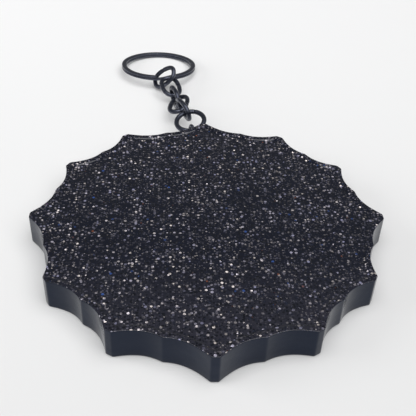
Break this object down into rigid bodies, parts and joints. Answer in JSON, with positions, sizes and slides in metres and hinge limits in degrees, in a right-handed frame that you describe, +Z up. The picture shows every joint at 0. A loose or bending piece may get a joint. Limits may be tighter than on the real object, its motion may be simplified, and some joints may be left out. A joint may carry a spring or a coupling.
{
  "type": "resin keychain charm",
  "caption": "Thick scalloped glitter-resin charm with a small screw eye, jump ring, short curb chain and split key ring.",
  "frame": {"origin": "centre of the puck's flat underside", "axes": "+Z up out of the glitter face; +Y from the puck centre to the tip that carries the chain"},
  "size_m": [0.0849, 0.1448, 0.0091],
  "materials": {
    "black_resin": "glossy cast resin",
    "glitter_resin": "dense fine glitter in dark resin",
    "clear_resin": "glossy clear coat over the glitter",
    "black_wire": "black plated, satin"
  },
  "bodies": {
    "puck": {"resin_backing": "black_resin", "glitter_layer": "glitter_resin", "clear_top_coat": "clear_resin", "screw_eye": "black_wire"},
    "jump_ring": {"jump_ring": "black_wire"},
    "chain_link_5": {"chain_link_5": "black_wire"},
    "chain_link_4": {"chain_link_4": "black_wire"},
    "chain_link_3": {"chain_link_3": "black_wire"},
    "chain_link_2": {"chain_link_2": "black_wire"},
    "chain_link_1": {"chain_link_1": "black_wire"},
    "split_key_ring": {"split_key_ring": "black_wire"}
  },
  "joints": [
    {"name": "jump_ring_swing", "type": "hinge", "parent": "puck", "child": "jump_ring", "pos_m": [-0.00299, 0.04394, 0.00482], "axis": [0.9692, 0.1665, 0.1817], "range_deg": [-61, 58]},
    {"name": "link_5_swing", "type": "hinge", "parent": "jump_ring", "child": "chain_link_5", "pos_m": [-0.00447, 0.05188, 0.00621], "axis": [0.9755, 0.1327, 0.1758], "range_deg": [-30, 30]},
    {"name": "link_4_swing", "type": "hinge", "parent": "chain_link_5", "child": "chain_link_4", "pos_m": [-0.00574, 0.05623, 0.00488], "axis": [0.5955, 0.7811, 0.1879], "range_deg": [-27, 27]},
    {"name": "link_3_swing", "type": "hinge", "parent": "chain_link_4", "child": "chain_link_3", "pos_m": [-0.00741, 0.0618, 0.0042], "axis": [-0.0553, 0.184, 0.9814], "range_deg": [-17, 30]},
    {"name": "link_2_swing", "type": "hinge", "parent": "chain_link_3", "child": "chain_link_2", "pos_m": [-0.00888, 0.06831, 0.00277], "axis": [0.9684, 0.238, -0.0749], "range_deg": [-27, 30]},
    {"name": "link_1_swing", "type": "hinge", "parent": "chain_link_2", "child": "chain_link_1", "pos_m": [-0.01135, 0.07493, 0.0033], "axis": [0.6909, -0.2643, 0.6729], "range_deg": [-9, 34]},
    {"name": "key_ring_swing", "type": "hinge", "parent": "chain_link_1", "child": "split_key_ring", "pos_m": [-0.01492, 0.07807, 0.00374], "axis": [0.9975, -0.0703, -0.0001], "range_deg": [-46, 46]}
  ]
}
